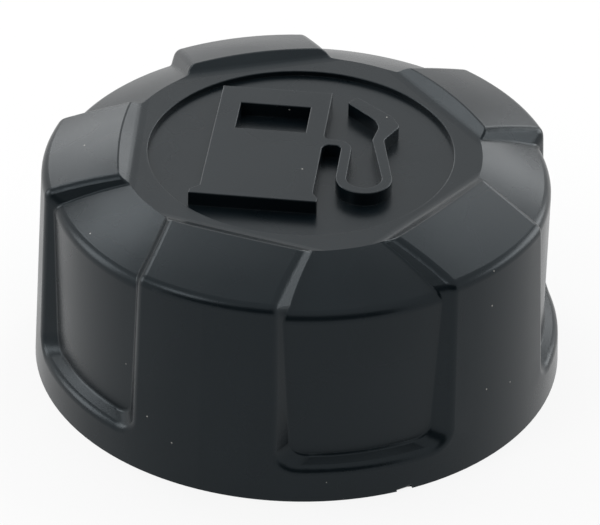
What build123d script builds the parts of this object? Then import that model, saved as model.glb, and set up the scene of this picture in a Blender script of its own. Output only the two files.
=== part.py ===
from build123d import *
from math import hypot, radians, sqrt, tan
import os

# Screw-on fuel filler cap: five grip lugs, a raised pump emblem and a two-way breather valve.
# All sizes are millimetres. The origin is the centre of the bottom rim, +Z points out of the
# tank and the emblem stands upright along +Y.

# Neck bore and the walls round it, from the thread outwards
thread_root_radius = 27.3
closure_wall = 2.3
closure_gap = 2.03
panel_wall = 2.1
panel_depth = 2.27

# Outer form of the cover
top_height = 31.8
crown_inset = 11.6
shoulder_drop = 2.46
lug_draft = 1.22
shoulder_rounding = 1.6
lug_dome_radius = 90.4
panel_dome_radius = 72.9
panel_lean = 0.07
panel_rounding = 1.8
ledge_height = 5.9
ledge_drop_per_mm = 0.47
panel_corner_rounding = 3.0
panel_foot_rounding = 0.45

# Grip lugs, in a frame whose X runs out along the middle of the lug
lug_count = 5
first_lug_angle = -104.9
bevel_foot_inset = 2.3
bevel_rise_per_mm = 0.53
bevel_foot_rounding = 3.0
ridge_rounding = 0.35
ridge_half_angle = 20.44
lug_end_inset = 2.6
lug_end_half_angle = 15.878
top_side_normal = (0.236, 1.0, 0.65)
wall_side_normal = (0.5, 1.0, 0.043)
side_blend_radius = 3.0
outline_rounding = 1.4

# Sunk disc, emblem and the small nick in the rim
disc_inset = 1.55
disc_depth = 0.75
disc_edge = 0.15
emblem_height = 1.98
emblem_edge = 0.15
nick_angle = -60.3
nick_width = 2.2
nick_depth = 0.35
nick_tilt = 35.0
nick_twist = 8.0

# Pump emblem, in the plane of the disc
pump_left = -12.15
pump_right = 2.9
pump_top = 13.25
pump_foot = -12.05
base_left = -13.4
base_right = 3.65
base_top = -13.25
base_bottom = -14.15
window_centre = (-4.45, 5.93)
window_width = 9.5
window_height = 6.45
hose_width = 1.45
hose_root = 1.0
hose_bend = 1.5
arm_height = 0.8
arm_rounding = 1.0
loop_centre = (9.2, -7.5)
loop_radius = 3.05
leg_lean = 13.4
nozzle_corners = [
    ((9.35, 2.1), 1.5),
    ((9.9, 5.4), 2.0),
    ((9.15, 7.35), 2.0),
    ((5.15, 11.15), 0.3),
    ((6.2, 12.8), 0.5),
    ((11.6, 8.3), 2.0),
    ((12.75, 6.0), 1.0),
    ((10.95, 2.4), 1.5),
]

# Inside of the cover
roof_wall = 2.4
disc_wall = 2.5
skirt_wall = 2.6
skirt_inner_height = 3.0
cavity_start_height = 5.2
cavity_draft = 0.3
cavity_rounding = 1.2
lug_core_wall = 2.2
lug_core_side_wall = 2.3
lug_core_top_wall = 4.1
lug_core_floor = 7.6
standoff_setback = 3.8
standoff_wall = 1.6
standoff_notch_width = 6.0
standoff_notch_height = 2.2
drive_rib_width = 1.8
drive_rib_side_gap = 0.1
drive_rib_end_gap = 0.3
web_gap_over_closure = 1.5
snap_bead_reach = 1.3
snap_bead_angle = 16.0
snap_bead_land = 0.8
snap_bead_lead = 1.6

# Threaded closure
closure_mouth_height = 2.5
closure_top_thickness = 2.2
closure_top_rounding = 1.0
closure_bore_radius = 14.0
mouth_chamfer = 0.8
gasket_groove_depth = 0.6
gasket_thickness = 2.0
gasket_width = 7.4
flange_gap = 0.4
flange_underside = 7.4
flange_thickness = 1.6
closure_rib_gap = 0.25
closure_rib_width = 1.4
closure_rib_drop = 0.5

# Breather valve housing and its lid
housing_bore_gap = 0.05
housing_wall = 1.6
housing_floor = 1.2
housing_flange_width = 2.6
housing_flange_thickness = 2.0
inlet_gap = 0.8
seat_setback = 0.8
seat_wall = 0.8
seat_height = 0.7
guide_rib_count = 6
guide_rib_width = 1.4
guide_rib_drop = 1.0
guide_gap = 0.08
seal_ring_width = 1.6
seal_ring_height = 1.3
seal_ring_rounding = 0.55
lid_thickness = 1.2
lid_skirt_wall = 1.2
lid_skirt_gap = 0.6
lid_headroom = 1.35
lid_port_count = 6
lid_port_radius = 1.1
lid_hole_gap = 0.8
spring_collar_wall = 0.6
spring_collar_height = 1.0
spring_collar_gap = 0.3

# Moving parts of the breather
plate_radius = 8.7
plate_thickness = 1.0
plate_port_count = 6
plate_port_radius = 0.4
plate_port_gap = 0.05
hub_gap = 0.25
hub_height = 1.0
valve_seal_margin = 0.5
valve_seal_thickness = 0.8
stem_radius = 1.0
stem_gap = 0.06
stem_neck_depth = 0.2
stem_tip_length = 0.5
vacuum_disc_radius = 4.6
vacuum_disc_thickness = 0.7
vacuum_lip_margin = 0.2
vacuum_lip_width = 0.5
vacuum_lip_height = 0.3
vacuum_lip_cover = 0.5
clip_margin = 0.55
clip_thickness = 0.5
pressure_wire_radius = 0.4
pressure_coil_radius = 6.6
pressure_turns = 4.0
pressure_spring_length = 4.8
vacuum_wire_radius = 0.15
vacuum_coil_radius = 2.3
vacuum_turns = 3.5
vacuum_spring_length = 2.4

# Dust filter and splash baffle
filter_inner_gap = 0.2
filter_outer_gap = 0.4
filter_height = 5.0
baffle_radius = 12.0
baffle_thickness = 0.6
baffle_drop = 1.0
baffle_rim_wall = 0.8
baffle_slot_count = 8
baffle_slot_width = 4.0
post_count = 4
post_radius = 0.8
post_head_radius = 1.3
post_head_thickness = 0.3
post_hole_gap = 0.05

# How far cutting tools reach past the body, and ribs into the wall that carries them
tool_margin = 8.0
rib_root = 0.5

# Distances from the axis that follow from the sizes above
closure_outer_radius = thread_root_radius + closure_wall
cavity_radius = closure_outer_radius + closure_gap
cavity_top_radius = cavity_radius - cavity_draft
panel_foot_radius = cavity_radius + panel_wall
panel_top_radius = panel_foot_radius + panel_lean
rim_radius = panel_foot_radius + panel_depth
shoulder_radius = rim_radius - lug_draft
skirt_inner_radius = rim_radius - skirt_wall
crown_radius = rim_radius - crown_inset
bevel_foot_distance = crown_radius - bevel_foot_inset
disc_radius = bevel_foot_distance - disc_inset
lug_end_distance = rim_radius - lug_end_inset
lug_end_half_width = lug_end_distance * tan(radians(lug_end_half_angle))
lug_core_radius = shoulder_radius - lug_core_wall
standoff_outer_radius = closure_outer_radius - standoff_setback
standoff_inner_radius = standoff_outer_radius - standoff_wall
flange_radius = cavity_radius - flange_gap
closure_rib_radius = cavity_top_radius - closure_rib_gap
gasket_radius = thread_root_radius + gasket_groove_depth
housing_radius = closure_bore_radius - housing_bore_gap
housing_inner_radius = housing_radius - housing_wall
housing_flange_radius = closure_bore_radius + housing_flange_width
seal_ring_radius = closure_bore_radius + housing_flange_width / 2
inlet_radius = vacuum_disc_radius + inlet_gap
seat_inner_radius = inlet_radius + seat_setback
seat_outer_radius = seat_inner_radius + seat_wall
vacuum_lip_outer_radius = vacuum_disc_radius - vacuum_lip_margin
vacuum_lip_inner_radius = vacuum_lip_outer_radius - vacuum_lip_width
valve_seal_hole_radius = vacuum_lip_inner_radius - vacuum_lip_cover
plate_port_circle = valve_seal_hole_radius - plate_port_radius - plate_port_gap
spring_collar_radius = pressure_coil_radius - pressure_wire_radius - spring_collar_gap
lid_port_circle = (pressure_coil_radius + pressure_wire_radius + housing_inner_radius) / 2
post_circle = (inlet_radius + baffle_radius - baffle_rim_wall) / 2

# Heights that follow from the sizes above
lug_pitch = 360 / lug_count
shoulder_height = top_height - shoulder_drop
lug_dome_centre = shoulder_height - sqrt(lug_dome_radius ** 2 - shoulder_radius ** 2)
panel_dome_centre = top_height - sqrt(panel_dome_radius ** 2 - crown_radius ** 2)
disc_height = top_height - disc_depth
ceiling_height = disc_height - disc_wall
lid_top = ceiling_height - lid_headroom
housing_rim_height = lid_top - lid_thickness
plate_top = housing_rim_height - pressure_spring_length
seal_top = plate_top - plate_thickness
seat_top = seal_top - valve_seal_thickness
housing_floor_top = seat_top - seat_height
gasket_face_height = housing_floor_top - housing_floor
gasket_bottom = gasket_face_height - gasket_thickness
closure_top_height = gasket_face_height + closure_top_thickness
housing_flange_top = closure_top_height + housing_flange_thickness
flange_top = flange_underside + flange_thickness
clip_underside = plate_top + vacuum_spring_length
clip_top = clip_underside + clip_thickness
baffle_top = gasket_face_height - baffle_drop
baffle_bottom = baffle_top - baffle_thickness

# The ridge of a lug, where the line of its bevel meets the domed lug tops
bevel_base = top_height - bevel_rise_per_mm * bevel_foot_distance - lug_dome_centre
bevel_slope_sum = 1 + bevel_rise_per_mm ** 2
bevel_reach = bevel_slope_sum * lug_dome_radius ** 2 - bevel_base ** 2
ridge_distance = (sqrt(bevel_reach) - bevel_rise_per_mm * bevel_base) / bevel_slope_sum
ridge_height = top_height + bevel_rise_per_mm * (ridge_distance - bevel_foot_distance)
ridge_half_width = ridge_distance * tan(radians(ridge_half_angle))


def dome_height(radius, dome_radius, dome_centre):
    """Height of a spherical dome centred on the axis, at a distance from the axis."""
    return dome_centre + sqrt(dome_radius ** 2 - radius ** 2)


def dome_arc(first_radius, last_radius, dome_radius, dome_centre):
    """Arc of a dome's section between two distances from the axis."""
    radii = (first_radius, (first_radius + last_radius) / 2, last_radius)
    return ThreePointArc(*[(r, dome_height(r, dome_radius, dome_centre)) for r in radii])


def turned_outline(points):
    """Solid of revolution about Z from a closed list of (radius, height) points."""
    return revolve(Plane.XZ * make_face(Polyline(*points, close=True)), Axis.Z, 360)


def tube(inner_radius, outer_radius, bottom, top):
    """Plain ring between two heights."""
    corners = [(inner_radius, bottom), (outer_radius, bottom), (outer_radius, top), (inner_radius, top)]
    return turned_outline(corners)


def disc(radius, bottom, top):
    """Plain round plate between two heights."""
    return Pos(0, 0, bottom) * extrude(Circle(radius), top - bottom)


def radial_bar(inner_radius, outer_radius, width, bottom, top):
    """Upright bar that reaches out along +X between two distances from the axis."""
    centre = Pos((inner_radius + outer_radius) / 2, 0, (bottom + top) / 2)
    return centre * Box(outer_radius - inner_radius, width, top - bottom)


def around(shape, count, first_angle=0.0):
    """Copies of a shape spaced evenly about the axis."""
    return [Rot(0, 0, first_angle + 360 * k / count) * shape for k in range(count)]


def lug_wedge():
    """Space taken by the lug on +X: its four sloping sides, blended where they meet."""
    outer = rim_radius + tool_margin
    wedge = radial_bar(crown_radius / 2, outer, 2 * rim_radius, 0, top_height + 2 * tool_margin)
    for side in (1, -1):
        top_normal = (top_side_normal[0], side * top_side_normal[1], top_side_normal[2])
        wall_normal = (wall_side_normal[0], side * wall_side_normal[1], wall_side_normal[2])
        top_origin = (ridge_distance, side * ridge_half_width, ridge_height)
        wall_origin = (lug_end_distance, side * lug_end_half_width, shoulder_height)
        wedge = split(wedge, bisect_by=Plane(origin=top_origin, z_dir=top_normal), keep=Keep.BOTTOM)
        wedge = split(wedge, bisect_by=Plane(origin=wall_origin, z_dir=wall_normal), keep=Keep.BOTTOM)
    ends = [(lug_end_distance, side * lug_end_half_width, shoulder_height) for side in (1, -1)]
    return fillet([wedge.edges().sort_by_distance(end)[0] for end in ends], side_blend_radius)


def lug_body():
    """Skirt, lug walls and domed lug tops as one turned form, before the panels are sunk."""
    apex = lug_dome_centre + lug_dome_radius
    wall = Polyline((0, apex), (0, 0), (rim_radius, 0), (shoulder_radius, shoulder_height))
    face = make_face(wall + dome_arc(shoulder_radius, 0, lug_dome_radius, lug_dome_centre))
    corner = face.vertices().sort_by_distance((shoulder_radius, shoulder_height, 0))[0]
    return revolve(Plane.XZ * fillet(corner, shoulder_rounding), Axis.Z, 360)


def panel_cutter(wedge):
    """Tool that sinks the panel between the lug on +X and the next one."""
    corner_height = dome_height(panel_top_radius, panel_dome_radius, panel_dome_centre)
    outer = rim_radius + tool_margin
    ledge_end = ledge_height - ledge_drop_per_mm * (outer - panel_foot_radius)
    above = top_height + tool_margin
    top_arc = dome_arc(crown_radius, panel_top_radius, panel_dome_radius, panel_dome_centre)
    rest = Polyline(
        (panel_top_radius, corner_height),
        (panel_foot_radius, ledge_height),
        (outer, ledge_end),
        (outer, above),
        (crown_radius, above),
        (crown_radius, top_height),
    )
    face = make_face(top_arc + rest)
    corner = face.vertices().sort_by_distance((panel_top_radius, corner_height, 0))[0]
    ring = revolve(Plane.XZ * fillet(corner, panel_rounding), Axis.Z, lug_pitch)
    tool = (ring - wedge - Rot(0, 0, lug_pitch) * wedge).solids().sort_by(SortBy.VOLUME)[-1]
    return round_panel_feet(tool)


def round_panel_feet(tool):
    """Round the panel's two lower corners, then the foot line that runs all round it."""
    ledge_middle = (panel_foot_radius + rim_radius) / 2
    ledge_middle_height = ledge_height - ledge_drop_per_mm * (ledge_middle - panel_foot_radius)
    wall_middle_height = (ledge_height + shoulder_height) / 2
    for radius, height, rounding in (
        (ledge_middle, ledge_middle_height, panel_corner_rounding),
        (panel_foot_radius, wall_middle_height, panel_foot_rounding),
    ):
        edges = []
        for angle in (lug_end_half_angle, lug_pitch - lug_end_half_angle):
            near = Vector(radius, 0, height).rotate(Axis.Z, angle)
            edges.append(tool.edges().sort_by_distance(near)[0])
        tool = fillet(edges, rounding)
    return tool


def crown_cutter():
    """Tool that leaves the flat crown and the bevelled inner face of every lug."""
    tool = Pos(0, 0, top_height + rim_radius / 2) * Box(4 * rim_radius, 4 * rim_radius, rim_radius)
    for k in range(lug_count):
        angle = first_lug_angle + k * lug_pitch
        origin = Vector(bevel_foot_distance, 0, top_height).rotate(Axis.Z, angle)
        normal = Vector(-bevel_rise_per_mm, 0, 1).rotate(Axis.Z, angle)
        tool = split(tool, bisect_by=Plane(origin=origin, z_dir=normal), keep=Keep.TOP)
    feet = tool.edges().group_by(Axis.Z)[0]
    return fillet(feet, bevel_foot_rounding)


def round_lug_outlines(body):
    """Round the lugs' outlines against the panels, then the ridges above the bevels."""
    touch = 0.02
    outline_start = ridge_distance + outline_rounding
    sides = []
    for edge in body.edges():
        middle = edge @ 0.5
        radius = hypot(middle.X, middle.Y)
        if not outline_start < radius < shoulder_radius:
            continue
        height = dome_height(radius, lug_dome_radius, lug_dome_centre)
        level = abs((edge @ 0).Z - middle.Z) < touch
        if abs(middle.Z - height) < touch and not level:
            sides.append(edge)
    body = fillet(sides, outline_rounding)
    ridges = []
    for k in range(lug_count):
        near = Vector(ridge_distance, 0, ridge_height).rotate(Axis.Z, first_lug_angle + k * lug_pitch)
        ridges.append(body.edges().sort_by_distance(near)[0])
    return fillet(ridges, ridge_rounding)


def outer_form():
    """The cover's outside: skirt, five lugs, sunk panels, crown and the disc sunk in it."""
    tool = panel_cutter(lug_wedge())
    body = Rot(0, 0, first_lug_angle) * lug_body() - crown_cutter()
    for cutter in around(tool, lug_count, first_lug_angle):
        body = body - cutter
    body = round_lug_outlines(body)
    body = body - disc(disc_radius, disc_height, top_height + tool_margin)
    circles = body.edges().filter_by(GeomType.CIRCLE)
    return fillet(circles.sort_by_distance((disc_radius, 0, top_height))[0], disc_edge)


def pump_emblem():
    """Raised fuel pump: body on a flared base, window, hose and nozzle."""
    body = Polyline(
        (pump_left, pump_top),
        (pump_right, pump_top),
        (pump_right, pump_foot),
        (base_right, base_top),
        (base_right, base_bottom),
        (base_left, base_bottom),
        (base_left, base_top),
        (pump_left, pump_foot),
        close=True,
    )
    window = Pos(window_centre) * Rectangle(window_width, window_height)
    hose = hose_outline()
    shape = make_face(body) + hose
    arm_bottom = arm_height - hose_width / 2
    arm_top = arm_height + hose_width / 2
    for y in (arm_bottom, arm_top):
        corner = shape.vertices().sort_by_distance((pump_right, y, 0))[0]
        shape = fillet(corner, arm_rounding)
    shape = shape - window
    emblem = Pos(0, 0, disc_height) * extrude(shape, emblem_height)
    return fillet(emblem.edges().group_by(Axis.Z)[-1], emblem_edge)


def hose_outline():
    """Hose from the pump's side, down, round its loop and up into the nozzle."""
    start = (loop_centre[0] - loop_radius, loop_centre[1])
    arm = FilletPolyline((pump_right - hose_root, arm_height), (start[0], arm_height), start, radius=hose_bend)
    turn = CenterArc(loop_centre, loop_radius, 180, 180 + leg_lean)
    lean = Vector(1, 0).rotate(Axis.Z, leg_lean)
    inner_end = Vector(*loop_centre) + lean * (loop_radius - hose_width / 2)
    outer_end = Vector(*loop_centre) + lean * (loop_radius + hose_width / 2)
    corners = [point for point, rounding in nozzle_corners]
    leg = make_face(Polyline(inner_end, *corners, outer_end, close=True))
    for point, rounding in nozzle_corners:
        leg = fillet(leg.vertices().sort_by_distance(point)[0], rounding)
    return trace(arm + turn, hose_width) + leg


def cavity_profile():
    """Half section of the hollow under the cover, following the panels at one wall thickness."""
    inner_dome = panel_dome_radius - roof_wall
    corner_height = dome_height(cavity_top_radius, inner_dome, panel_dome_centre)
    ceiling_radius = sqrt(inner_dome ** 2 - (ceiling_height - panel_dome_centre) ** 2)
    lower = Polyline(
        (ceiling_radius, ceiling_height),
        (0, ceiling_height),
        (0, -tool_margin),
        (skirt_inner_radius, -tool_margin),
        (skirt_inner_radius, skirt_inner_height),
        (cavity_radius, cavity_start_height),
        (cavity_top_radius, corner_height),
    )
    face = make_face(lower + dome_arc(cavity_top_radius, ceiling_radius, inner_dome, panel_dome_centre))
    corner = face.vertices().sort_by_distance((cavity_top_radius, corner_height, 0))[0]
    return fillet(corner, cavity_rounding)


def standoff_ring():
    """Ring that holds the closure down, notched at its foot to let the breather's air out."""
    ring = tube(standoff_inner_radius, standoff_outer_radius, closure_top_height, ceiling_height)
    notch = radial_bar(
        standoff_inner_radius - standoff_wall,
        standoff_outer_radius + standoff_wall,
        standoff_notch_width,
        closure_top_height,
        closure_top_height + standoff_notch_height,
    )
    for cut in around(notch, lug_count, first_lug_angle):
        ring = ring - cut
    return ring


def drive_rib():
    """Rib down the cover's wall that turns the closure, with its web out from the ring."""
    bottom = flange_top + drive_rib_end_gap
    inner_radius = closure_outer_radius + drive_rib_end_gap
    rib = radial_bar(inner_radius, rim_radius, drive_rib_width, bottom, ceiling_height)
    web_bottom = closure_top_height + web_gap_over_closure
    web_start = standoff_outer_radius - rib_root
    return rib + radial_bar(web_start, rim_radius, drive_rib_width, web_bottom, ceiling_height)


def snap_bead():
    """Short bead on the cover's wall, centred on +X, that the closure's flange snaps over."""
    inner_radius = cavity_radius - snap_bead_reach
    root = cavity_radius + rib_root
    land = flange_underside - snap_bead_land
    points = [
        (root, land - snap_bead_lead),
        (inner_radius, land),
        (inner_radius, flange_underside),
        (root, flange_underside),
    ]
    face = Plane.XZ * make_face(Polyline(*points, close=True))
    return Rot(0, 0, -snap_bead_angle / 2) * revolve(face, Axis.Z, snap_bead_angle)


def lug_core():
    """Pocket that cores out the lug on +X from inside."""
    ceiling = shoulder_height - lug_core_top_wall
    width = 2 * (lug_end_half_width - lug_core_side_wall)
    bar = radial_bar(closure_outer_radius, rim_radius, width, lug_core_floor, ceiling)
    return bar & disc(lug_core_radius, lug_core_floor, ceiling)


def cover_hollow():
    """Everything taken out of the cover from below: cavity and lug cores, less ribs and beads."""
    hollow = revolve(Plane.XZ * cavity_profile(), Axis.Z, 360) - standoff_ring()
    for rib in around(drive_rib(), 2 * lug_count, first_lug_angle + lug_pitch / 4):
        hollow = hollow - rib
    for bead in around(snap_bead(), lug_count, first_lug_angle + lug_pitch / 2):
        hollow = hollow - bead
    for pocket in around(lug_core(), lug_count, first_lug_angle):
        hollow = hollow + pocket
    return hollow


def cap_cover():
    """The outer moulding that the hand turns."""
    body = outer_form() + pump_emblem() - cover_hollow()
    bite = Box(2 * nick_depth, nick_width, 2 * nick_depth)
    nick = Pos(rim_radius, 0, 0) * Rot(nick_twist, nick_tilt, 0) * bite
    return body - Rot(0, 0, nick_angle) * nick


def threaded_closure():
    """Inner cup that screws onto the neck: bore, gasket groove, snap flange and drive ribs."""
    face = make_face(Polyline(
        (thread_root_radius + mouth_chamfer, closure_mouth_height),
        (closure_outer_radius, closure_mouth_height),
        (closure_outer_radius, flange_underside),
        (flange_radius, flange_underside),
        (flange_radius, flange_top),
        (closure_outer_radius, flange_top),
        (closure_outer_radius, closure_top_height),
        (closure_bore_radius, closure_top_height),
        (closure_bore_radius, gasket_face_height),
        (gasket_radius, gasket_face_height),
        (gasket_radius, gasket_bottom),
        (thread_root_radius, gasket_bottom),
        (thread_root_radius, closure_mouth_height + mouth_chamfer),
        close=True,
    ))
    corner = face.vertices().sort_by_distance((closure_outer_radius, closure_top_height, 0))[0]
    cup = revolve(Plane.XZ * fillet(corner, closure_top_rounding), Axis.Z, 360)
    root = closure_outer_radius - rib_root
    rib_top = closure_top_height - closure_rib_drop
    rib = radial_bar(root, closure_rib_radius, closure_rib_width, flange_top, rib_top)
    aside = drive_rib_width / 2 + drive_rib_side_gap + closure_rib_width / 2
    pair = [Pos(0, side * aside, 0) * rib for side in (1, -1)]
    for one in pair:
        for bar in around(one, 2 * lug_count, first_lug_angle + lug_pitch / 4):
            cup = cup + bar
    return cup


def neck_gasket():
    """Flat rubber ring that seals on the rim of the filler neck."""
    return tube(gasket_radius - gasket_width, gasket_radius, gasket_bottom, gasket_face_height)


def valve_housing():
    """Cup of the breather: inlet, valve seat, guide ribs, flange and the baffle's posts."""
    groove_inner = seal_ring_radius - seal_ring_width / 2
    groove_outer = seal_ring_radius + seal_ring_width / 2
    groove_top = closure_top_height + seal_ring_height
    body = turned_outline([
        (inlet_radius, gasket_face_height),
        (housing_radius, gasket_face_height),
        (housing_radius, closure_top_height),
        (groove_inner, closure_top_height),
        (groove_inner, groove_top),
        (groove_outer, groove_top),
        (groove_outer, closure_top_height),
        (housing_flange_radius, closure_top_height),
        (housing_flange_radius, housing_flange_top),
        (housing_radius, housing_flange_top),
        (housing_radius, housing_rim_height),
        (housing_inner_radius, housing_rim_height),
        (housing_inner_radius, housing_floor_top),
        (seat_outer_radius, housing_floor_top),
        (seat_outer_radius, seat_top),
        (seat_inner_radius, seat_top),
        (seat_inner_radius, housing_floor_top),
        (inlet_radius, housing_floor_top),
    ])
    guide_top = housing_rim_height - guide_rib_drop
    guide_end = housing_inner_radius + rib_root
    guide = radial_bar(plate_radius + guide_gap, guide_end, guide_rib_width, housing_floor_top, guide_top)
    for rib in around(guide, guide_rib_count):
        body = body + rib
    post = disc(post_radius, baffle_bottom - post_head_thickness, gasket_face_height)
    post = post + disc(post_head_radius, baffle_bottom - post_head_thickness, baffle_bottom)
    for stake in around(Pos(post_circle, 0, 0) * post, post_count, 180 / post_count):
        body = body + stake
    return body


def housing_seal():
    """Rubber ring squeezed between the housing's flange and the closure."""
    section = RectangleRounded(seal_ring_width, seal_ring_height, seal_ring_rounding)
    place = Pos(seal_ring_radius, closure_top_height + seal_ring_height / 2)
    return revolve(Plane.XZ * place * section, Axis.Z, 360)


def valve_lid():
    """Snap-on lid that carries the pressure spring, with ports and a hole for the stem."""
    skirt_bottom = housing_flange_top + lid_skirt_gap
    lid = disc(housing_radius + lid_skirt_wall, skirt_bottom, lid_top)
    lid = lid - disc(housing_radius, skirt_bottom, housing_rim_height)
    collar_bottom = housing_rim_height - spring_collar_height
    inner_radius = spring_collar_radius - spring_collar_wall
    lid = lid + tube(inner_radius, spring_collar_radius, collar_bottom, housing_rim_height)
    lid = lid - disc(stem_radius + lid_hole_gap, housing_rim_height, lid_top)
    port = Pos(lid_port_circle, 0, 0) * disc(lid_port_radius, housing_rim_height, lid_top)
    for hole in around(port, lid_port_count):
        lid = lid - hole
    return lid


def pressure_plate():
    """Plate that lifts off the seat under tank pressure, with the stem's hub and air ports."""
    hub_radius = vacuum_coil_radius - vacuum_wire_radius - hub_gap
    plate = disc(plate_radius, seal_top, plate_top)
    plate = plate + disc(hub_radius, plate_top, plate_top + hub_height)
    collar_top = plate_top + spring_collar_height
    inner_radius = spring_collar_radius - spring_collar_wall
    plate = plate + tube(inner_radius, spring_collar_radius, plate_top, collar_top)
    plate = plate - disc(stem_radius + stem_gap, seal_top, plate_top + hub_height)
    port = Pos(plate_port_circle, 0, 0) * disc(plate_port_radius, seal_top, plate_top)
    for hole in around(port, plate_port_count):
        plate = plate - hole
    return plate


def valve_seal():
    """Rubber washer under the plate: its rim seals on the seat, its hole on the vacuum disc."""
    return tube(valve_seal_hole_radius, plate_radius - valve_seal_margin, seat_top, seal_top)


def vacuum_plunger():
    """Disc and stem that drop to let air in when the tank draws a vacuum."""
    lip_bottom = seat_top - vacuum_lip_height
    disc_bottom = lip_bottom - vacuum_disc_thickness
    plunger = disc(vacuum_disc_radius, disc_bottom, lip_bottom)
    plunger = plunger + tube(vacuum_lip_inner_radius, vacuum_lip_outer_radius, lip_bottom, seat_top)
    plunger = plunger + disc(stem_radius, disc_bottom, clip_underside)
    plunger = plunger + disc(stem_radius - stem_neck_depth, clip_underside, clip_top)
    return plunger + disc(stem_radius, clip_top, clip_top + stem_tip_length)


def stem_clip():
    """Push-on washer that sits in the stem's neck and holds the vacuum spring."""
    clip_radius = vacuum_coil_radius + vacuum_wire_radius + clip_margin
    return tube(stem_radius - stem_neck_depth, clip_radius, clip_underside, clip_top)


def coil_spring(coil_radius, wire_radius, turns, bottom, top):
    """Compression spring of round wire that fills the space between two heights."""
    length = top - bottom - 2 * wire_radius
    path = Pos(0, 0, bottom + wire_radius) * Helix(length / turns, length, coil_radius)
    return sweep(Plane(origin=path @ 0, z_dir=path % 0) * Circle(wire_radius), path, is_frenet=True)


def foam_filter():
    """Open-cell foam ring that keeps dust out of the breather."""
    inner_radius = housing_flange_radius + filter_inner_gap
    outer_radius = standoff_inner_radius - filter_outer_gap
    return tube(inner_radius, outer_radius, closure_top_height, closure_top_height + filter_height)


def splash_baffle():
    """Slotted dish staked under the housing that stops fuel slopping into the breather."""
    dish = disc(baffle_radius, baffle_bottom, gasket_face_height)
    dish = dish - disc(baffle_radius - baffle_rim_wall, baffle_top, gasket_face_height)
    slot_start = baffle_radius - 2 * baffle_rim_wall
    slot_end = baffle_radius + baffle_rim_wall
    slot = radial_bar(slot_start, slot_end, baffle_slot_width, baffle_top, gasket_face_height)
    for cut in around(slot, baffle_slot_count):
        dish = dish - cut
    hole = Pos(post_circle, 0, 0) * disc(post_radius + post_hole_gap, baffle_bottom, baffle_top)
    for cut in around(hole, post_count, 180 / post_count):
        dish = dish - cut
    return dish


def build_parts():
    """Every piece of the cap by name."""
    return {
        "cap_cover": cap_cover(),
        "threaded_closure": threaded_closure(),
        "neck_gasket": neck_gasket(),
        "valve_housing": valve_housing(),
        "housing_seal": housing_seal(),
        "valve_lid": valve_lid(),
        "pressure_plate": pressure_plate(),
        "valve_seal": valve_seal(),
        "pressure_spring": coil_spring(
            pressure_coil_radius, pressure_wire_radius, pressure_turns, plate_top, housing_rim_height
        ),
        "vacuum_plunger": vacuum_plunger(),
        "vacuum_spring": coil_spring(
            vacuum_coil_radius, vacuum_wire_radius, vacuum_turns, plate_top, clip_underside
        ),
        "stem_clip": stem_clip(),
        "foam_filter": foam_filter(),
        "splash_baffle": splash_baffle(),
    }


os.makedirs("parts", exist_ok=True)
for name, part in build_parts().items():
    export_step(part, f"parts/{name}.step")
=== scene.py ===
"""Screw-on fuel filler cap: finishes, thread ridge, studio and camera for the modelled cap.

Lengths are metres. The frame is the cap's own: origin at the centre of the bottom rim, +Z up
through the emblem, +Y towards the top of the emblem.
"""

import logging
import math
from dataclasses import dataclass, field
from enum import Enum

import bmesh
import bpy
from mathutils import Matrix, Vector


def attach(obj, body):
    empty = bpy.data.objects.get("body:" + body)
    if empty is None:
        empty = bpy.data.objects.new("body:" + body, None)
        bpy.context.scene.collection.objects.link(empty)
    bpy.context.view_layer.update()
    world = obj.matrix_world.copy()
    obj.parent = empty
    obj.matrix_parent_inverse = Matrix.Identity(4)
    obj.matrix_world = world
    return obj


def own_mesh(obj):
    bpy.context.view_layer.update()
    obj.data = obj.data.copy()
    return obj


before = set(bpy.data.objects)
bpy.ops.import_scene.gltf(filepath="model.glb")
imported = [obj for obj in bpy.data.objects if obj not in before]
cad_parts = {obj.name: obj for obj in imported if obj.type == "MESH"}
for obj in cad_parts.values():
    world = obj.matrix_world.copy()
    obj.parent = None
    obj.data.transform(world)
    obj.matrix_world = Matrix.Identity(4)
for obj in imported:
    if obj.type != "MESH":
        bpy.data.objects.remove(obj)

LOG = logging.getLogger("fuel_cap")
CAP_BODY = "cap"
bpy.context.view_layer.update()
MM = 0.001

Colour = tuple[float, float, float]


class Surface(Enum):
    """What kind of relief a finish carries."""

    MOULDED = "moulded"
    RUBBER = "rubber"
    FOAM = "foam"
    DRAWN_METAL = "drawn_metal"


# Node helpers


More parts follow.
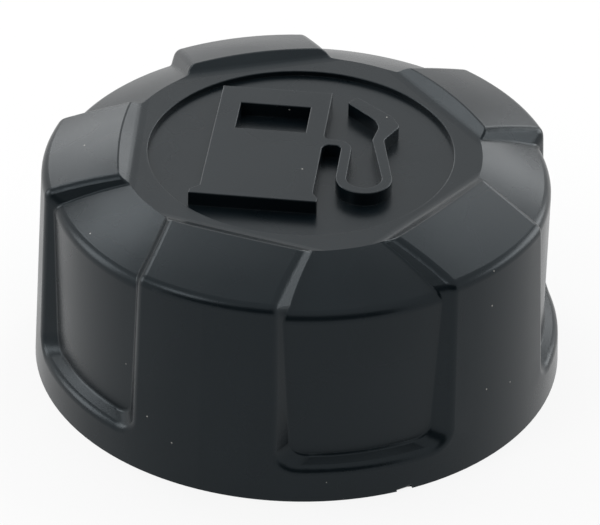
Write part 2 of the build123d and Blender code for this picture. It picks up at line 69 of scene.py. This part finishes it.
class Graph:
    """A node tree with short calls for adding and joining nodes."""

    def __init__(self, tree: bpy.types.NodeTree) -> None:
        """Keep the tree.

        Args:
            tree: The node tree to add to.
        """
        self.tree = tree
        self.column = 0

    def add(self, kind: str, **settings: object) -> bpy.types.Node:
        """Add a node.

        Args:
            kind: The node's type name.
            settings: Properties to set on it.

        Returns:
            The new node.
        """
        node = self.tree.nodes.new(kind)
        self.column += 1
        node.location = (self.column * 190 - 1500, (self.column % 4) * -170)
        for name, value in settings.items():
            setattr(node, name, value)
        return node

    def put(self, node: bpy.types.Node, **values: object) -> bpy.types.Node:
        """Set a node's sockets, with underscores standing for spaces in their names.

        Args:
            node: The node to set.
            values: Plain values, or output sockets to link.

        Returns:
            The same node.
        """
        for name, value in values.items():
            socket = node.inputs[name.replace("_", " ")]
            if isinstance(value, bpy.types.NodeSocket):
                self.tree.links.new(value, socket)
            else:
                socket.default_value = value
        return node

    def math(self, operation: str, *values: object, clamp: bool = False) -> bpy.types.NodeSocket:
        """Add a Math node.

        Args:
            operation: Its operation.
            values: Numbers or sockets, in order.
            clamp: Whether the result is held between 0 and 1.

        Returns:
            Its output socket.
        """
        node = self.add("ShaderNodeMath", operation=operation, use_clamp=clamp)
        for socket, value in zip(node.inputs, values):
            if isinstance(value, bpy.types.NodeSocket):
                self.tree.links.new(value, socket)
            else:
                socket.default_value = value
        return node.outputs[0]

    def ramp(self, value: bpy.types.NodeSocket, low: float, high: float) -> bpy.types.NodeSocket:
        """Spread a value so that low gives 0 and high gives 1.

        Args:
            value: The socket to spread.
            low: The value that gives 0.
            high: The value that gives 1.

        Returns:
            The spread value, held between 0 and 1.
        """
        node = self.add("ShaderNodeMapRange", interpolation_type="SMOOTHSTEP")
        self.tree.links.new(value, node.inputs["Value"])
        node.inputs["From Min"].default_value = low
        node.inputs["From Max"].default_value = high
        return node.outputs["Result"]

    def tint(self, amount: bpy.types.NodeSocket, first: object, second: object) -> bpy.types.NodeSocket:
        """Mix two colours.

        Args:
            amount: How much of the second colour shows.
            first: A colour or a colour socket.
            second: A colour or a colour socket.

        Returns:
            The mixed colour.
        """
        node = self.add("ShaderNodeMix", data_type="RGBA")
        self.tree.links.new(amount, node.inputs["Factor"])
        for name, value in (("A", first), ("B", second)):
            socket = [s for s in node.inputs if s.name == name and s.type == "RGBA"][0]
            if isinstance(value, bpy.types.NodeSocket):
                self.tree.links.new(value, socket)
            else:
                socket.default_value = (*value, 1.0)
        return [s for s in node.outputs if s.type == "RGBA"][0]


@dataclass(frozen=True)
class GroupSocket:
    """One named socket of a shader group."""

    name: str
    is_input: bool
    kind: str = "NodeSocketFloat"
    default: float | None = None


def new_group(name: str, sockets: list[GroupSocket]) -> tuple[Graph, bpy.types.Node, bpy.types.Node]:
    """Start a shader node group with named inputs and outputs.

    Args:
        name: The group's name.
        sockets: Its sockets, in order.

    Returns:
        The group's graph, its input node and its output node.
    """
    tree = bpy.data.node_groups.new(name, "ShaderNodeTree")
    for item in sockets:
        way = "INPUT" if item.is_input else "OUTPUT"
        socket = tree.interface.new_socket(name=item.name, in_out=way, socket_type=item.kind)
        if item.default is not None:
            socket.default_value = item.default
    graph = Graph(tree)
    return graph, graph.add("NodeGroupInput"), graph.add("NodeGroupOutput")


# Shared effects


@dataclass(frozen=True)
class MouldGrain:
    """Fine spark-eroded mould texture, with slow patches where it is smoother."""

    name: str = "mould_grain"
    grain_detail: float = 2.5
    grain_roughness: float = 0.62
    pit_smoothness: float = 0.6
    pit_share: float = 0.7
    patch_detail: float = 3.0
    patch_roughness: float = 0.5
    patch_low: float = 0.35
    patch_high: float = 0.65

    def build(self) -> bpy.types.NodeTree:
        """Make the group once.

        Returns:
            The group's tree.
        """
        sockets = [
            GroupSocket("Vector", True, "NodeSocketVector"),
            GroupSocket("Grain Scale", True, default=3000.0),
            GroupSocket("Patch Scale", True, default=60.0),
            GroupSocket("Height", False),
            GroupSocket("Patches", False),
        ]
        graph, enter, leave = new_group(self.name, sockets)
        grain = graph.add("ShaderNodeTexNoise", noise_dimensions="3D")
        graph.put(grain, Vector=enter.outputs["Vector"], Scale=enter.outputs["Grain Scale"])
        graph.put(grain, Detail=self.grain_detail, Roughness=self.grain_roughness)
        pits = graph.add("ShaderNodeTexVoronoi", feature="SMOOTH_F1")
        graph.put(pits, Vector=enter.outputs["Vector"], Scale=enter.outputs["Grain Scale"])
        graph.put(pits, Smoothness=self.pit_smoothness)
        patches = graph.add("ShaderNodeTexNoise", noise_dimensions="3D")
        graph.put(patches, Vector=enter.outputs["Vector"], Scale=enter.outputs["Patch Scale"])
        graph.put(patches, Detail=self.patch_detail, Roughness=self.patch_roughness)
        height = graph.math("MULTIPLY", pits.outputs["Distance"], self.pit_share)
        height = graph.math("ADD", height, grain.outputs["Fac"])
        spread = graph.ramp(patches.outputs["Fac"], self.patch_low, self.patch_high)
        graph.put(leave, Height=height, Patches=spread)
        return graph.tree


@dataclass(frozen=True)
class EdgeWearAndHighlight:
    """Mask of the outer edges that hands rub smooth, broken up by noise; on the cover it carries a
    painted highlight line along each convex edge.
    """

    name: str = "edge_wear_and_highlight"
    bevel_samples: int = 6
    bend_low: float = 0.01
    bend_high: float = 0.12
    reach: float = 4.0
    reach_samples: int = 4
    open_low: float = 0.62
    open_high: float = 0.85
    noise_detail: float = 4.0
    noise_low: float = 0.25
    noise_high: float = 0.6

    def build(self) -> bpy.types.NodeTree:
        """Make the group once.

        Returns:
            The group's tree.
        """
        sockets = [
            GroupSocket("Vector", True, "NodeSocketVector"),
            GroupSocket("Radius", True, default=0.0006),
            GroupSocket("Break Up", True, default=250.0),
            GroupSocket("Mask", False),
        ]
        graph, enter, leave = new_group(self.name, sockets)
        soft = graph.add("ShaderNodeBevel", samples=self.bevel_samples)
        graph.put(soft, Radius=enter.outputs["Radius"])
        plain = graph.add("ShaderNodeNewGeometry")
        facing = graph.add("ShaderNodeVectorMath", operation="DOT_PRODUCT")
        graph.tree.links.new(soft.outputs["Normal"], facing.inputs[0])
        graph.tree.links.new(plain.outputs["Normal"], facing.inputs[1])
        bend = graph.math("SUBTRACT", 1.0, facing.outputs["Value"])
        bent = graph.ramp(bend, self.bend_low, self.bend_high)
        around = graph.add("ShaderNodeAmbientOcclusion", samples=self.reach_samples)
        graph.put(around, Distance=graph.math("MULTIPLY", enter.outputs["Radius"], self.reach))
        open_side = graph.ramp(around.outputs["AO"], self.open_low, self.open_high)
        edge = graph.math("MULTIPLY", bent, open_side)
        noise = graph.add("ShaderNodeTexNoise")
        graph.put(noise, Vector=enter.outputs["Vector"], Scale=enter.outputs["Break Up"])
        graph.put(noise, Detail=self.noise_detail)
        broken = graph.ramp(noise.outputs["Fac"], self.noise_low, self.noise_high)
        graph.put(leave, Mask=graph.math("MULTIPLY", edge, broken, clamp=True))
        return graph.tree


@dataclass(frozen=True)
class DustSpecks:
    """Mask of a few fine pale specks, each in its own cell."""

    name: str = "dust_specks"

    def build(self) -> bpy.types.NodeTree:
        """Make the group once.

        Returns:
            The group's tree.
        """
        sockets = [
            GroupSocket("Vector", True, "NodeSocketVector"),
            GroupSocket("Cell Scale", True, default=300.0),
            GroupSocket("Share", True, default=0.05),
            GroupSocket("Size", True, default=0.035),
            GroupSocket("Mask", False),
        ]
        graph, enter, leave = new_group(self.name, sockets)
        cells = graph.add("ShaderNodeTexVoronoi", feature="F1")
        graph.put(cells, Vector=enter.outputs["Vector"], Scale=enter.outputs["Cell Scale"])
        near = graph.math("LESS_THAN", cells.outputs["Distance"], enter.outputs["Size"])
        split = graph.add("ShaderNodeSeparateColor")
        graph.tree.links.new(cells.outputs["Color"], split.inputs["Color"])
        chosen = graph.math("LESS_THAN", split.outputs["Red"], enter.outputs["Share"])
        graph.put(leave, Mask=graph.math("MULTIPLY", near, chosen))
        return graph.tree


# Finishes


FOAM_CELL_SCALE = 1500.0
FOAM_STRUT_WIDTH = 0.25
DRAWN_LINE_SCALE = 9000.0
DRAWN_LINE_DETAIL = 2.0
DRAWN_PIT_SHARE = 0.3
RUBBER_GRAIN_SHARE = 0.8


@dataclass(frozen=True)
class Finish:
    """One finish of the cap: colours, gloss and relief."""

    name: str
    colour: Colour
    second_colour: Colour
    # Colour laid on the edge mask: rubbed wear on most finishes, a painted edge highlight on the cover.
    worn_and_highlight_colour: Colour
    roughness: float
    roughness_swing: float
    relief_depth: float
    grain_scale: float = 3000.0
    patch_scale: float = 60.0
    # Reach and strength of the edge mask, for wear and for the painted edge highlight alike.
    wear_and_highlight_radius: float = 0.0005
    wear_and_highlight: float = 0.5
    dust_share: float = 0.0
    dust_colour: Colour = (0.30, 0.29, 0.27)
    rubbed_smooth: float = 0.12
    ior: float = 1.45
    specular_level: float = 0.5
    specular_tint: Colour = (1.0, 1.0, 1.0)
    metallic: float = 0.0
    surface: Surface = Surface.MOULDED

    def build(self) -> bpy.types.Material:
        """Make the material from the shared effects.

        Returns:
            The new material.
        """
        material = bpy.data.materials.new(self.name)
        material.use_nodes = True
        tree = material.node_tree
        tree.nodes.clear()
        graph = Graph(tree)
        place = graph.add("ShaderNodeTexCoord").outputs["Object"]
        shader = graph.add("ShaderNodeBsdfPrincipled")
        shader.inputs["IOR"].default_value = self.ior
        shader.inputs["Specular IOR Level"].default_value = self.specular_level
        shader.inputs["Specular Tint"].default_value = (*self.specular_tint, 1.0)
        shader.inputs["Metallic"].default_value = self.metallic
        grain = self._group(graph, MouldGrain.name, place)
        graph.put(grain, Grain_Scale=self.grain_scale, Patch_Scale=self.patch_scale)
        # Edge mask lightens the colour: rubbed wear on most finishes, a painted highlight line along the
        # cover's convex edges.
        wear_and_highlight = self._group(graph, EdgeWearAndHighlight.name, place)
        graph.put(wear_and_highlight, Radius=self.wear_and_highlight_radius)
        worn_and_highlight = graph.math("MULTIPLY", wear_and_highlight.outputs["Mask"], self.wear_and_highlight)
        colour = graph.tint(grain.outputs["Patches"], self.colour, self.second_colour)
        colour = graph.tint(worn_and_highlight, colour, self.worn_and_highlight_colour)
        if self.dust_share > 0:
            dust = self._group(graph, DustSpecks.name, place)
            graph.put(dust, Share=self.dust_share)
            colour = graph.tint(dust.outputs["Mask"], colour, self.dust_colour)
        swing = graph.math("MULTIPLY_ADD", grain.outputs["Patches"], self.roughness_swing, self.roughness)
        smoother = graph.math("MULTIPLY", worn_and_highlight, self.rubbed_smooth)
        swing = graph.math("SUBTRACT", swing, smoother, clamp=True)
        height = self._relief(graph, place, grain.outputs["Height"])
        bump = graph.add("ShaderNodeBump")
        graph.put(bump, Strength=1.0, Distance=self.relief_depth, Height=height)
        graph.put(shader, Base_Color=colour, Roughness=swing, Normal=bump.outputs["Normal"])
        out = graph.add("ShaderNodeOutputMaterial")
        tree.links.new(shader.outputs["BSDF"], out.inputs["Surface"])
        return material

    @staticmethod
    def _group(graph: Graph, name: str, place: bpy.types.NodeSocket) -> bpy.types.Node:
        """Place one of the shared effects.

        Args:
            graph: The material's graph.
            name: The effect's group.
            place: The coordinates it is laid out in.

        Returns:
            The group node.
        """
        node = graph.add("ShaderNodeGroup", node_tree=bpy.data.node_groups[name])
        return graph.put(node, Vector=place)

    def _relief(
        self, graph: Graph, place: bpy.types.NodeSocket, grain: bpy.types.NodeSocket
    ) -> bpy.types.NodeSocket:
        """Pick the height that this kind of surface carries.

        Args:
            graph: The material's graph.
            place: Coordinates on the object.
            grain: The mould grain's height.

        Returns:
            The height socket.
        """
        if self.surface is Surface.FOAM:
            cells = graph.add("ShaderNodeTexVoronoi", feature="DISTANCE_TO_EDGE")
            graph.put(cells, Vector=place, Scale=FOAM_CELL_SCALE)
            hollow = graph.ramp(cells.outputs["Distance"], 0.0, FOAM_STRUT_WIDTH)
            return graph.math("SUBTRACT", 1.0, hollow)
        if self.surface is Surface.DRAWN_METAL:
            lines = graph.add("ShaderNodeTexNoise")
            graph.put(lines, Vector=place, Scale=DRAWN_LINE_SCALE, Detail=DRAWN_LINE_DETAIL)
            pits = graph.math("MULTIPLY", grain, DRAWN_PIT_SHARE)
            return graph.math("ADD", lines.outputs["Fac"], pits)
        if self.surface is Surface.RUBBER:
            return graph.math("MULTIPLY", grain, RUBBER_GRAIN_SHARE)
        return grain


COVER_PLASTIC = Finish(
    name="cover_satin_black",
    colour=(0.0024, 0.0046, 0.0062),
    second_colour=(0.0035, 0.0061, 0.0080),
    # Pale edge colour and strong edge mask: a painted highlight line along the cover's edges.
    worn_and_highlight_colour=(0.082, 0.088, 0.094),
    roughness=0.25,
    roughness_swing=0.05,
    relief_depth=0.000005,
    grain_scale=4200.0,
    wear_and_highlight_radius=0.0003,
    wear_and_highlight=0.75,
    dust_share=0.35,
    specular_level=0.29,
    specular_tint=(0.81, 0.925, 1.0),
)
CLOSURE_PLASTIC = Finish(
    name="closure_black",
    colour=(0.012, 0.012, 0.013),
    second_colour=(0.018, 0.018, 0.019),
    worn_and_highlight_colour=(0.05, 0.05, 0.052),
    roughness=0.38,
    roughness_swing=0.10,
    relief_depth=0.000008,
    grain_scale=1800.0,
    wear_and_highlight=0.7,
)
GASKET_RUBBER = Finish(
    name="gasket_rubber",
    colour=(0.020, 0.020, 0.019),
    second_colour=(0.032, 0.031, 0.029),
    worn_and_highlight_colour=(0.07, 0.07, 0.066),
    roughness=0.68,
    roughness_swing=0.12,
    relief_depth=0.00003,
    grain_scale=1500.0,
    patch_scale=120.0,
    specular_level=0.35,
    surface=Surface.RUBBER,
)
SEAL_RUBBER = Finish(
    name="seal_rubber",
    colour=(0.016, 0.016, 0.017),
    second_colour=(0.026, 0.026, 0.027),
    worn_and_highlight_colour=(0.05, 0.05, 0.05),
    roughness=0.55,
    roughness_swing=0.10,
    relief_depth=0.00002,
    grain_scale=2200.0,
    specular_level=0.4,
    surface=Surface.RUBBER,
)
VALVE_PLASTIC = Finish(
    name="valve_natural_acetal",
    colour=(0.62, 0.60, 0.54),
    second_colour=(0.55, 0.53, 0.46),
    worn_and_highlight_colour=(0.70, 0.69, 0.65),
    roughness=0.34,
    roughness_swing=0.10,
    relief_depth=0.000010,
    grain_scale=1600.0,
    wear_and_highlight=0.5,
)
SPRING_STEEL = Finish(
    name="spring_steel",
    colour=(0.56, 0.56, 0.57),
    second_colour=(0.46, 0.46, 0.48),
    worn_and_highlight_colour=(0.70, 0.70, 0.71),
    roughness=0.26,
    roughness_swing=0.12,
    relief_depth=0.000004,
    metallic=1.0,
    surface=Surface.DRAWN_METAL,
)
PLUNGER_BRASS = Finish(
    name="plunger_brass",
    colour=(0.62, 0.44, 0.17),
    second_colour=(0.50, 0.34, 0.13),
    worn_and_highlight_colour=(0.75, 0.58, 0.28),
    roughness=0.30,
    roughness_swing=0.12,
    relief_depth=0.000004,
    metallic=1.0,
    surface=Surface.DRAWN_METAL,
)
FILTER_FOAM = Finish(
    name="filter_foam",
    colour=(0.045, 0.045, 0.048),
    second_colour=(0.075, 0.074, 0.074),
    worn_and_highlight_colour=(0.10, 0.10, 0.10),
    roughness=0.92,
    roughness_swing=0.05,
    relief_depth=0.00025,
    patch_scale=200.0,
    specular_level=0.2,
    surface=Surface.FOAM,
)


# The cap's sub-assemblies


@dataclass
class NodeDress:
    """Gives the modelled pieces of one sub-assembly their finishes."""

    label: str
    finishes: dict[str, Finish]

    def dress(self, made: dict[str, bpy.types.Material]) -> None:
        """Put a material on every piece listed.

        Args:
            made: Materials made so far, by finish name, added to as needed.
        """
        for node, finish in self.finishes.items():
            if finish.name not in made:
                made[finish.name] = finish.build()
            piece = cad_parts[node]
            for slot in piece.material_slots:
                slot.material = made[finish.name]
            LOG.info("%s: %s in %s", self.label, node, finish.name)


@dataclass
class NeckThread:
    """Coarse right-hand thread ridge inside the closure."""

    root_radius: float = 27.3 * MM
    crest_radius: float = 25.9 * MM
    sink: float = 0.05 * MM
    root_width: float = 2.6 * MM
    crest_width: float = 1.0 * MM
    pitch: float = 5.0 * MM
    first_height: float = 4.9 * MM
    turns: float = 1.6
    lead_angle: float = 14.0
    sections_per_turn: int = 90
    start_angle: float = 40.0
    least_height: float = 0.02
    round_share: float = 0.18
    finish: Finish = field(default=CLOSURE_PLASTIC)

    def _profile(self, height: float) -> list[tuple[float, float]]:
        """Section of the ridge as (radius, offset along the axis).

        Args:
            height: Share of the full ridge height, from 0 at the run-out to 1.

        Returns:
            The section's points, from the lower root round the crest to the upper root.
        """
        deep = self.root_radius + self.sink
        full_height = self.root_radius - self.crest_radius
        crest = self.root_radius - full_height * max(height, self.least_height)
        step = (self.root_radius - crest) * self.round_share
        half_root, half_crest = self.root_width / 2, self.crest_width / 2
        lower = [
            (deep, -half_root - step),
            (self.root_radius - step * 0.25, -half_root),
            (crest + step * 1.2, -half_crest - step * 0.55),
            (crest + step * 0.35, -half_crest - step * 0.1),
            (crest, -half_crest + step * 0.6),
        ]
        return lower + [(radius, -offset) for radius, offset in reversed(lower)]

    def build(self) -> bpy.types.Object:
        """Sweep the section along the helix, running out at both ends.

        Returns:
            The ridge, riding on the cap.
        """
        mesh = bpy.data.meshes.new("neck_thread_ridge")
        form = bmesh.new()
        count = int(self.sections_per_turn * self.turns)
        rings: list[list[bmesh.types.BMVert]] = []
        for k in range(count + 1):
            turned = 360.0 * self.turns * k / count
            end = min(turned, 360.0 * self.turns - turned)
            share = min(end / self.lead_angle, 1.0)
            share = share * share * (3 - 2 * share)
            angle = math.radians(self.start_angle + turned)
            middle = self.first_height + self.pitch * turned / 360.0
            ring = []
            for radius, offset in self._profile(share):
                spot = (radius * math.cos(angle), radius * math.sin(angle), middle + offset)
                ring.append(form.verts.new(spot))
            rings.append(ring)
        for first, second in zip(rings, rings[1:]):
            for a in range(len(first)):
                b = (a + 1) % len(first)
                form.faces.new((first[a], first[b], second[b], second[a]))
        form.faces.new(rings[0][::-1])
        form.faces.new(rings[-1])
        bmesh.ops.recalc_face_normals(form, faces=form.faces)
        form.to_mesh(mesh)
        form.free()
        mesh.shade_smooth()
        ridge = bpy.data.objects.new("neck_thread_ridge", mesh)
        bpy.context.scene.collection.objects.link(ridge)
        return ridge

    def dress(self, ridge: bpy.types.Object, made: dict[str, bpy.types.Material]) -> None:
        """Give the ridge the closure's finish and let it ride on the cap.

        Args:
            ridge: The ridge.
            made: Materials made so far, by finish name.
        """
        ridge.data.materials.append(made[self.finish.name])
        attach(ridge, CAP_BODY)
        LOG.info("closure: %s, %d faces", ridge.name, len(ridge.data.polygons))


@dataclass(frozen=True)
class SpringTravel:
    """A modelled spring and the joint beside it; the spring gets a mesh of its own and keeps its shape.
    """

    node: str
    joint: str
    held_height: float
    free_height: float
    travel: float

    def apply(self) -> bpy.types.Object:
        """Give the spring a mesh of its own.

        Returns:
            The spring.
        """
        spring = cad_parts[self.node]
        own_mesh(spring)
        return spring


# Studio


@dataclass(frozen=True)
class Softbox:
    """One soft area lamp aimed at the cap."""

    name: str
    place: tuple[float, float, float]
    width: float
    height: float
    power: float
    aim: tuple[float, float, float] = (0.0, 0.0, 0.02)

    def build(self) -> bpy.types.Object:
        """Make the lamp.

        Returns:
            The lamp, facing the cap's crown.
        """
        lamp = bpy.data.lights.new(self.name, "AREA")
        lamp.shape = "RECTANGLE"
        lamp.size, lamp.size_y = self.width, self.height
        lamp.energy = self.power
        holder = bpy.data.objects.new(self.name, lamp)
        holder.location = self.place
        beam = Vector(self.aim) - Vector(self.place)
        holder.rotation_euler = beam.to_track_quat("-Z", "Y").to_euler()
        bpy.context.scene.collection.objects.link(holder)
        return holder


@dataclass
class Studio:
    """Pale floor, even surroundings, soft lamps and the camera of the photograph."""

    floor_size: float = 8.0
    floor_gap: float = 0.02 * MM
    floor_colour: Colour = (0.86, 0.86, 0.86)
    floor_fibre: float = 0.985
    fibre_scale: float = 900.0
    floor_white: float = 0.86
    surround: float = 0.62
    flag_width: float = 2.2
    flag_bottom: float = 0.03
    flag_top: float = 0.95
    flag_distance: float = 1.0
    flag_colour: Colour = (0.02, 0.02, 0.02)
    flag_nap_colour: Colour = (0.05, 0.05, 0.05)
    nap_scale: float = 300.0
    softboxes: tuple[Softbox, ...] = (
        Softbox("back_box", (-0.11, 1.16, 0.79), 1.10, 0.70, 0.6),
        Softbox("left_back_box", (-0.50, 1.03, 0.50), 0.45, 0.40, 1.7),
        Softbox("right_back_box", (0.44, 1.06, 0.50), 0.34, 0.34, 1.3),
        Softbox("right_high_box", (0.36, 0.75, 0.94), 0.50, 0.50, 1.7),
        Softbox("left_high_box", (-0.30, 0.60, 1.05), 0.50, 0.50, 0.7),
        Softbox("left_key", (-0.62, 0.54, 0.82), 0.34, 0.34, 1.6),
        Softbox("left_side_box", (-0.95, 0.05, 0.35), 0.40, 0.50, 3.0),
        Softbox("right_side_box", (0.85, 0.60, 0.30), 0.50, 0.50, 4.0),
        Softbox("left_strip", (-0.66, -0.58, 0.72), 0.34, 0.34, 1.8),
        Softbox("right_strip", (0.98, 0.21, 0.33), 0.30, 0.25, 1.4),
    )
    camera_place: tuple[float, float, float] = (0.050246, -0.503392, 0.351029)
    camera_heading: float = -0.09908
    camera_pitch: float = 0.5880
    camera_roll: float = 0.0217
    camera_lens: float = 267.58
    sensor_width: float = 36.0

    def build_floor(self) -> bpy.types.Object:
        """Make the floor: white from above, with the cap's shadow, and clear from below.

        Returns:
            The floor.
        """
        mesh = bpy.data.meshes.new("studio_floor")
        half = self.floor_size / 2
        corners = [(-half, -half, 0), (half, -half, 0), (half, half, 0), (-half, half, 0)]
        mesh.from_pydata(corners, [], [(0, 1, 2, 3)])
        floor = bpy.data.objects.new("studio_floor", mesh)
        floor.location.z = -self.floor_gap
        bpy.context.scene.collection.objects.link(floor)
        material = bpy.data.materials.new("floor_paper")
        material.use_nodes = True
        tree = material.node_tree
        tree.nodes.clear()
        graph = Graph(tree)
        place = graph.add("ShaderNodeTexCoord").outputs["Object"]
        fibre = graph.add("ShaderNodeTexNoise")
        graph.put(fibre, Vector=place, Scale=self.fibre_scale, Detail=3.0)
        darker = tuple(share * self.floor_fibre for share in self.floor_colour)
        colour = graph.tint(fibre.outputs["Fac"], self.floor_colour, darker)
        paper = graph.add("ShaderNodeBsdfPrincipled")
        paper.inputs["Roughness"].default_value = 0.9
        paper.inputs["Specular IOR Level"].default_value = 0.1
        graph.put(paper, Base_Color=colour)
        white = graph.add("ShaderNodeEmission")
        white.inputs["Strength"].default_value = 1.0
        amount = graph.math("MULTIPLY", self._seen(graph), self.floor_white)
        mix = graph.add("ShaderNodeMixShader")
        tree.links.new(amount, mix.inputs[0])
        tree.links.new(paper.outputs["BSDF"], mix.inputs[1])
        tree.links.new(white.outputs["Emission"], mix.inputs[2])
        behind = graph.add("ShaderNodeNewGeometry").outputs["Backfacing"]
        clear = graph.add("ShaderNodeBsdfTransparent")
        one_sided = graph.add("ShaderNodeMixShader")
        tree.links.new(behind, one_sided.inputs[0])
        tree.links.new(mix.outputs[0], one_sided.inputs[1])
        tree.links.new(clear.outputs["BSDF"], one_sided.inputs[2])
        out = graph.add("ShaderNodeOutputMaterial")
        tree.links.new(one_sided.outputs[0], out.inputs["Surface"])
        mesh.materials.append(material)
        return floor

    @staticmethod
    def _seen(graph: Graph) -> bpy.types.NodeSocket:
        """Value that is 1 for camera, glossy and transmission rays.

        Args:
            graph: The graph to add to.

        Returns:
            The value's socket.
        """
        path = graph.add("ShaderNodeLightPath")
        seen = graph.math("MAXIMUM", path.outputs["Is Camera Ray"], path.outputs["Is Glossy Ray"])
        return graph.math("MAXIMUM", seen, path.outputs["Is Transmission Ray"])

    def build_flag(self) -> bpy.types.Object:
        """Make the dark card that stands low behind the camera.

        Returns:
            The card.
        """
        mesh = bpy.data.meshes.new("dark_flag")
        half, low, high = self.flag_width / 2, self.flag_bottom, self.flag_top
        corners = [(-half, 0, low), (half, 0, low), (half, 0, high), (-half, 0, high)]
        mesh.from_pydata(corners, [], [(0, 1, 2, 3)])
        flag = bpy.data.objects.new("dark_flag", mesh)
        flag.location.y = -self.flag_distance
        bpy.context.scene.collection.objects.link(flag)
        material = bpy.data.materials.new("flag_felt")
        material.use_nodes = True
        tree = material.node_tree
        tree.nodes.clear()
        graph = Graph(tree)
        place = graph.add("ShaderNodeTexCoord").outputs["Object"]
        nap = graph.add("ShaderNodeTexNoise")
        graph.put(nap, Vector=place, Scale=self.nap_scale, Detail=3.0)
        felt = graph.add("ShaderNodeBsdfPrincipled")
        felt.inputs["Roughness"].default_value = 0.95
        felt.inputs["Specular IOR Level"].default_value = 0.05
        colour = graph.tint(nap.outputs["Fac"], self.flag_colour, self.flag_nap_colour)
        graph.put(felt, Base_Color=colour)
        out = graph.add("ShaderNodeOutputMaterial")
        tree.links.new(felt.outputs["BSDF"], out.inputs["Surface"])
        mesh.materials.append(material)
        return flag

    def build_world(self) -> bpy.types.World:
        """Make the surroundings: white to the eye, a plain level of light for the rest.

        Returns:
            The world.
        """
        world = bpy.data.worlds.new("studio_surround")
        world.use_nodes = True
        tree = world.node_tree
        tree.nodes.clear()
        graph = Graph(tree)
        seen = self._seen(graph)
        light = graph.add("ShaderNodeBackground")
        light.inputs["Color"].default_value = (1.0, 1.0, 1.0, 1.0)
        strength = graph.math("MULTIPLY_ADD", seen, 1.0 - self.surround, self.surround)
        graph.put(light, Strength=strength)
        out = graph.add("ShaderNodeOutputWorld")
        tree.links.new(light.outputs["Background"], out.inputs["Surface"])
        bpy.context.scene.world = world
        return world

    def build_camera(self) -> bpy.types.Object:
        """Place the camera where the photograph was taken from.

        Returns:
            The camera.
        """
        across = math.cos(self.camera_pitch)
        forward = Vector((
            math.sin(self.camera_heading) * across,
            math.cos(self.camera_heading) * across,
            -math.sin(self.camera_pitch),
        ))
        level = forward.cross(Vector((0, 0, 1))).normalized()
        upright = level.cross(forward)
        turn_cos, turn_sin = math.cos(self.camera_roll), math.sin(self.camera_roll)
        right = level * turn_cos + upright * turn_sin
        up = upright * turn_cos - level * turn_sin
        lens = bpy.data.cameras.new("photo_camera")
        lens.lens = self.camera_lens
        lens.sensor_width = self.sensor_width
        lens.sensor_fit = "HORIZONTAL"
        lens.clip_start, lens.clip_end = 0.01, 50.0
        camera = bpy.data.objects.new("photo_camera", lens)
        turn = Matrix((right, up, -forward)).transposed().to_4x4()
        camera.matrix_world = Matrix.Translation(self.camera_place) @ turn
        bpy.context.scene.collection.objects.link(camera)
        bpy.context.scene.camera = camera
        return camera

    def build(self) -> None:
        """Set up the whole studio."""
        bpy.context.scene.view_settings.view_transform = "Standard"
        self.build_camera()
        self.build_floor()
        self.build_flag()
        self.build_world()
        for box in self.softboxes:
            box.build()
        LOG.info("studio: %d softboxes", len(self.softboxes))


COVER = NodeDress("cover", {"cap_cover": COVER_PLASTIC})
CLOSURE = NodeDress("closure", {"threaded_closure": CLOSURE_PLASTIC, "neck_gasket": GASKET_RUBBER})
BREATHER = NodeDress(
    "breather",
    {
        "valve_housing": VALVE_PLASTIC,
        "housing_seal": SEAL_RUBBER,
        "valve_lid": VALVE_PLASTIC,
        "pressure_plate": VALVE_PLASTIC,
        "valve_seal": SEAL_RUBBER,
        "pressure_spring": SPRING_STEEL,
        "vacuum_plunger": PLUNGER_BRASS,
        "vacuum_spring": SPRING_STEEL,
        "stem_clip": SPRING_STEEL,
        "foam_filter": FILTER_FOAM,
        "splash_baffle": VALVE_PLASTIC,
    },
)
LID_UNDERSIDE = 26.0 * MM
PLATE_TOP = 21.2 * MM
CLIP_UNDERSIDE = 23.6 * MM
SPRING_TRAVELS = (
    SpringTravel("pressure_spring", "pressure_valve_lift", LID_UNDERSIDE, PLATE_TOP, travel=1.4 * MM),
    SpringTravel("vacuum_spring", "vacuum_valve_drop", PLATE_TOP, CLIP_UNDERSIDE, travel=1.0 * MM),
)


def main() -> None:
    """Build and dress everything, in order."""
    logging.basicConfig(level=logging.INFO, format="%(name)s: %(message)s")
    Studio().build()
    for effect in (MouldGrain(), EdgeWearAndHighlight(), DustSpecks()):
        effect.build()
    made: dict[str, bpy.types.Material] = {}
    for part in (COVER, CLOSURE, BREATHER):
        part.dress(made)
    for travel in SPRING_TRAVELS:
        travel.apply()
    thread = NeckThread()
    thread.dress(thread.build(), made)


if __name__ == "__main__":
    main()
